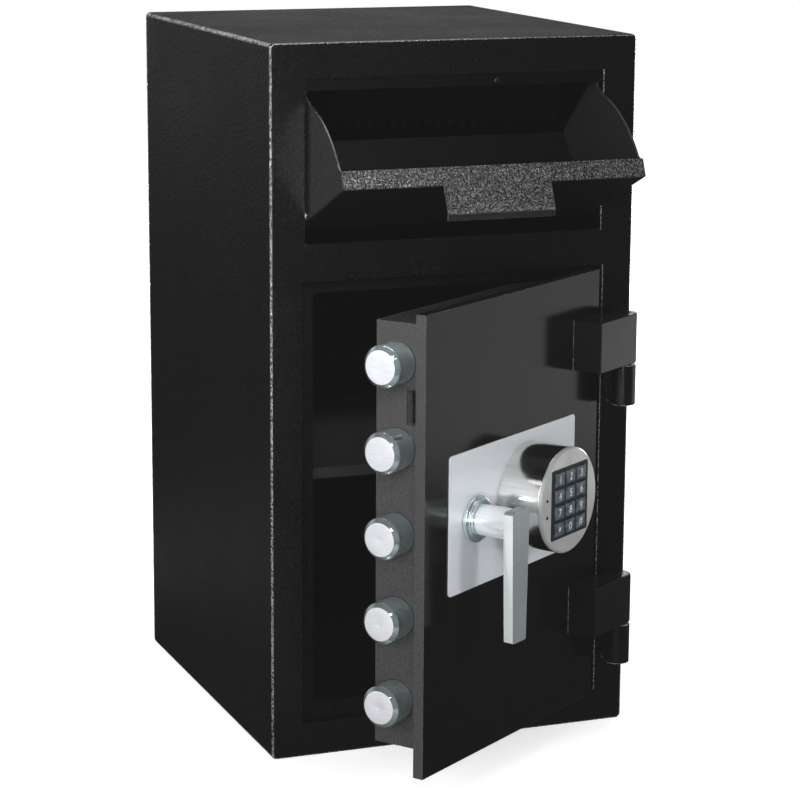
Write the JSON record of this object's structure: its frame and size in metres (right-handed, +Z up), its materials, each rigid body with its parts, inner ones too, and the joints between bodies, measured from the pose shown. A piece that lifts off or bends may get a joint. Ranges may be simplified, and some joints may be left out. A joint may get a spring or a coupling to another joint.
{
  "type": "deposit safe",
  "caption": "Upright front-loading deposit safe: a tilting deposit hopper over a side-hinged door with round locking bolts, a lever handle and a round keypad.",
  "frame": {"origin": "centre of the base, on the floor, in the middle of the anchor holes", "axes": "+Z up; -Y towards the front, where the door and the hopper are; +X to the right seen from the front, the side of the hinges"},
  "size_m": [0.37, 0.5971, 0.686],
  "materials": {
    "black_coat": "textured near-black powder coat",
    "door_coat": "satin dark grey powder coat",
    "wrinkle_coat": "coarse wrinkled dark grey coat",
    "zinc_steel": "zinc-plated, dull",
    "brass": "plain",
    "bumper_rubber": "matt",
    "brushed_trim": "brushed along its length",
    "satin_nickel": "polished side, satin front",
    "chrome": "satin polish",
    "bolt_chrome": "polished, with a turned end",
    "panel_plastic": "matt dark blue grey",
    "key_plastic": "satin dark blue grey",
    "lens": "smoked red"
  },
  "bodies": {
    "cabinet": {"body_wrap": "black_coat", "back_panel": "black_coat", "front_frame": "black_coat", "door_jamb": "black_coat", "strike_bar": "black_coat", "deposit_floor": "black_coat", "hopper_header": "black_coat", "hopper_brackets": "black_coat", "anti_fish_baffle": "black_coat", "tray_bumpers": "bumper_rubber", "shelf": "black_coat", "shelf_brackets": "black_coat", "lower_hinge_barrel": "black_coat", "upper_hinge_barrel": "black_coat", "hinge_pins": "zinc_steel", "hinge_washers": "brass"},
    "hopper": {"hopper_plate": "black_coat", "hopper_lip": "wrinkle_coat", "hopper_cheek_left": "black_coat", "hopper_cheek_right": "black_coat", "hopper_tray": "black_coat", "hopper_pivot_pins": "zinc_steel"},
    "door": {"door_plate": "door_coat", "bolt_box": "door_coat", "bolt_guide_bar": "zinc_steel", "box_cover": "door_coat", "box_cover_screws": "zinc_steel", "lower_hinge_leaf": "black_coat", "upper_hinge_leaf": "black_coat", "dead_bar": "zinc_steel", "lock_trim_plate": "brushed_trim", "keypad_housing": "satin_nickel", "keypad_face": "satin_nickel", "keypad_panel": "panel_plastic", "led_lenses": "lens", "handle_rose": "chrome", "lock_case": "zinc_steel"},
    "handle": {"handle_lever": "chrome", "spindle": "zinc_steel", "crank": "zinc_steel"},
    "bolts": {"bolt_carrier": "zinc_steel", "drive_plate": "zinc_steel", "bolt_1": "bolt_chrome", "bolt_2": "bolt_chrome", "bolt_3": "bolt_chrome", "bolt_4": "bolt_chrome", "bolt_5": "bolt_chrome"},
    "lock_bolt": {"lock_bolt": "zinc_steel"},
    "key_1": {"key_1": "key_plastic"},
    "key_2": {"key_2": "key_plastic"},
    "key_3": {"key_3": "key_plastic"},
    "key_4": {"key_4": "key_plastic"},
    "key_5": {"key_5": "key_plastic"},
    "key_6": {"key_6": "key_plastic"},
    "key_7": {"key_7": "key_plastic"},
    "key_8": {"key_8": "key_plastic"},
    "key_9": {"key_9": "key_plastic"},
    "key_star": {"key_star": "key_plastic"},
    "key_0": {"key_0": "key_plastic"},
    "key_hash": {"key_hash": "key_plastic"}
  },
  "joints": [
    {"name": "door_hinge", "type": "hinge", "parent": "cabinet", "child": "door", "pos_m": [0.17, -0.222, 0.24], "axis": [0, 0, 1], "range_deg": [-22.5, 75]},
    {"name": "handle_turn", "type": "hinge", "parent": "door", "child": "handle", "pos_m": [-0.02643, -0.36076, 0.2625], "axis": [0.5736, -0.8192, 0], "range_deg": [-50, 0]},
    {"name": "bolt_throw", "type": "slide", "parent": "door", "child": "bolts", "axis": [-0.8192, -0.5736, 0], "range_m": [-0.0285, 0]},
    {"name": "lock_bolt_slide", "type": "slide", "parent": "door", "child": "lock_bolt", "axis": [0, 0, 1], "range_m": [0, 0.0095]},
    {"name": "hopper_tilt", "type": "hinge", "parent": "cabinet", "child": "hopper", "pos_m": [0, -0.1955, 0.5245], "axis": [1, 0, 0], "range_deg": [-67, 0]},
    {"name": "key_1_press", "type": "slide", "parent": "door", "child": "key_1", "axis": [-0.5736, 0.8192, 0], "range_m": [0, 0.0012], "stiffness_N_per_m": 400},
    {"name": "key_2_press", "type": "slide", "parent": "door", "child": "key_2", "axis": [-0.5736, 0.8192, 0], "range_m": [0, 0.0012], "stiffness_N_per_m": 400},
    {"name": "key_3_press", "type": "slide", "parent": "door", "child": "key_3", "axis": [-0.5736, 0.8192, 0], "range_m": [0, 0.0012], "stiffness_N_per_m": 400},
    {"name": "key_4_press", "type": "slide", "parent": "door", "child": "key_4", "axis": [-0.5736, 0.8192, 0], "range_m": [0, 0.0012], "stiffness_N_per_m": 400},
    {"name": "key_5_press", "type": "slide", "parent": "door", "child": "key_5", "axis": [-0.5736, 0.8192, 0], "range_m": [0, 0.0012], "stiffness_N_per_m": 400},
    {"name": "key_6_press", "type": "slide", "parent": "door", "child": "key_6", "axis": [-0.5736, 0.8192, 0], "range_m": [0, 0.0012], "stiffness_N_per_m": 400},
    {"name": "key_7_press", "type": "slide", "parent": "door", "child": "key_7", "axis": [-0.5736, 0.8192, 0], "range_m": [0, 0.0012], "stiffness_N_per_m": 400},
    {"name": "key_8_press", "type": "slide", "parent": "door", "child": "key_8", "axis": [-0.5736, 0.8192, 0], "range_m": [0, 0.0012], "stiffness_N_per_m": 400},
    {"name": "key_9_press", "type": "slide", "parent": "door", "child": "key_9", "axis": [-0.5736, 0.8192, 0], "range_m": [0, 0.0012], "stiffness_N_per_m": 400},
    {"name": "key_star_press", "type": "slide", "parent": "door", "child": "key_star", "axis": [-0.5736, 0.8192, 0], "range_m": [0, 0.0012], "stiffness_N_per_m": 400},
    {"name": "key_0_press", "type": "slide", "parent": "door", "child": "key_0", "axis": [-0.5736, 0.8192, 0], "range_m": [0, 0.0012], "stiffness_N_per_m": 400},
    {"name": "key_hash_press", "type": "slide", "parent": "door", "child": "key_hash", "axis": [-0.5736, 0.8192, 0], "range_m": [0, 0.0012], "stiffness_N_per_m": 400}
  ],
  "couplings": [
    {"joint": "bolt_throw", "follows": "handle_turn", "m_per_rad": 0.032658}
  ]
}
